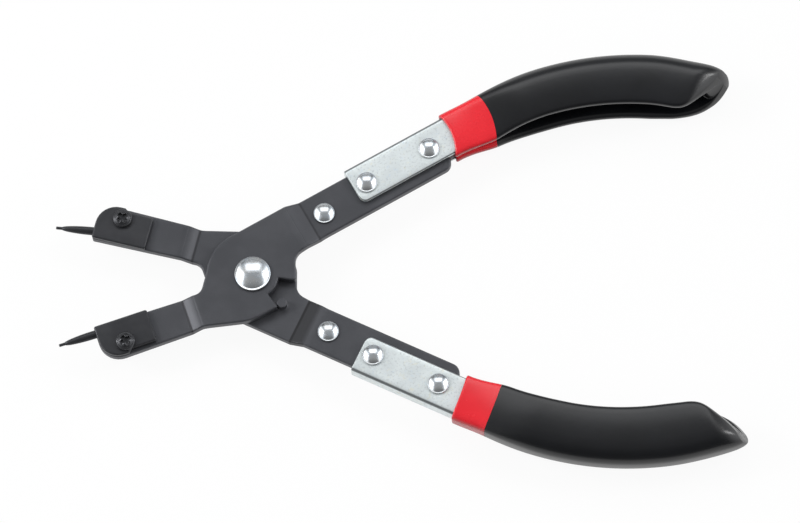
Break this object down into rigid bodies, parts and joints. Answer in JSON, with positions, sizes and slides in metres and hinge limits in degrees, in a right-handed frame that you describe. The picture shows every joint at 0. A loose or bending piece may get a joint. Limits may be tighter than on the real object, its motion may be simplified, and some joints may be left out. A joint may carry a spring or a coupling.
{
  "type": "circlip pliers",
  "caption": "Circlip pliers with crossed stamped levers, screw-clamped straight tips, riveted handle channels and dipped vinyl grips with red collars.",
  "frame": {"origin": "centre of the flat rear face of the pivot rivet, on the pivot axis", "axes": "+Z along the pivot axis from the rear of the tool to the domed rivet head in front, -X towards the tips, +X towards the handles, +Y towards the front lever's handle"},
  "size_m": [0.1966, 0.124, 0.014],
  "materials": {
    "black_steel": "satin",
    "black_oxide": "satin",
    "zinc_sheet": "satin",
    "zinc_rivet": "gloss",
    "red_vinyl": "gloss",
    "black_vinyl": "gloss",
    "spring_wire": "satin"
  },
  "bodies": {
    "front_lever": {"front_lever": "black_steel", "front_handle_channel": "zinc_sheet", "front_channel_rivet_inner": "zinc_rivet", "front_channel_rivet_outer": "zinc_rivet", "front_spring_post": "zinc_rivet", "front_grip_collar": "red_vinyl", "front_grip": "black_vinyl", "pivot_rivet": "zinc_rivet", "return_spring": "spring_wire"},
    "rear_lever": {"rear_lever": "black_steel", "rear_handle_channel": "zinc_sheet", "rear_channel_rivet_inner": "zinc_rivet", "rear_channel_rivet_outer": "zinc_rivet", "rear_spring_post": "zinc_rivet", "rear_grip_collar": "red_vinyl", "rear_grip": "black_vinyl"},
    "front_clamp": {"front_tip_clamp": "black_oxide"},
    "front_screw": {"front_clamp_screw": "black_oxide"},
    "front_pin": {"front_tip": "black_oxide"},
    "rear_clamp": {"rear_tip_clamp": "black_oxide"},
    "rear_screw": {"rear_clamp_screw": "black_oxide"},
    "rear_pin": {"rear_tip": "black_oxide"}
  },
  "joints": [
    {"name": "lever_pivot", "type": "hinge", "parent": "front_lever", "child": "rear_lever", "pos_m": [0, 0, 0], "axis": [0, 0, 1], "range_deg": [0, 28], "stiffness_Nm_per_rad": 1.5, "springref_deg": -22.92, "deforming": ["return_spring"]},
    {"name": "front_clamp_lift", "type": "slide", "parent": "front_lever", "child": "front_clamp", "axis": [0, 0, 1], "range_m": [0, 0.0014]},
    {"name": "front_screw_turn", "type": "hinge", "parent": "front_clamp", "child": "front_screw", "pos_m": [-0.03705, -0.01859, 0], "axis": [0, 0, 1], "range_deg": [0, 1010]},
    {"name": "front_tip_slide", "type": "slide", "parent": "front_lever", "child": "front_pin", "axis": [-0.9641, -0.2656, 0], "range_m": [0, 0.013]},
    {"name": "rear_clamp_lift", "type": "slide", "parent": "rear_lever", "child": "rear_clamp", "axis": [0, 0, 1], "range_m": [0, 0.0014]},
    {"name": "rear_screw_turn", "type": "hinge", "parent": "rear_clamp", "child": "rear_screw", "pos_m": [-0.03705, 0.01859, 0], "axis": [0, 0, 1], "range_deg": [0, 1010]},
    {"name": "rear_tip_slide", "type": "slide", "parent": "rear_lever", "child": "rear_pin", "axis": [-0.9895, 0.1444, 0], "range_m": [0, 0.013]}
  ],
  "couplings": [
    {"joint": "front_screw_turn", "follows": "front_clamp_lift", "rad_per_m": 12566},
    {"joint": "rear_screw_turn", "follows": "rear_clamp_lift", "rad_per_m": 12566}
  ]
}
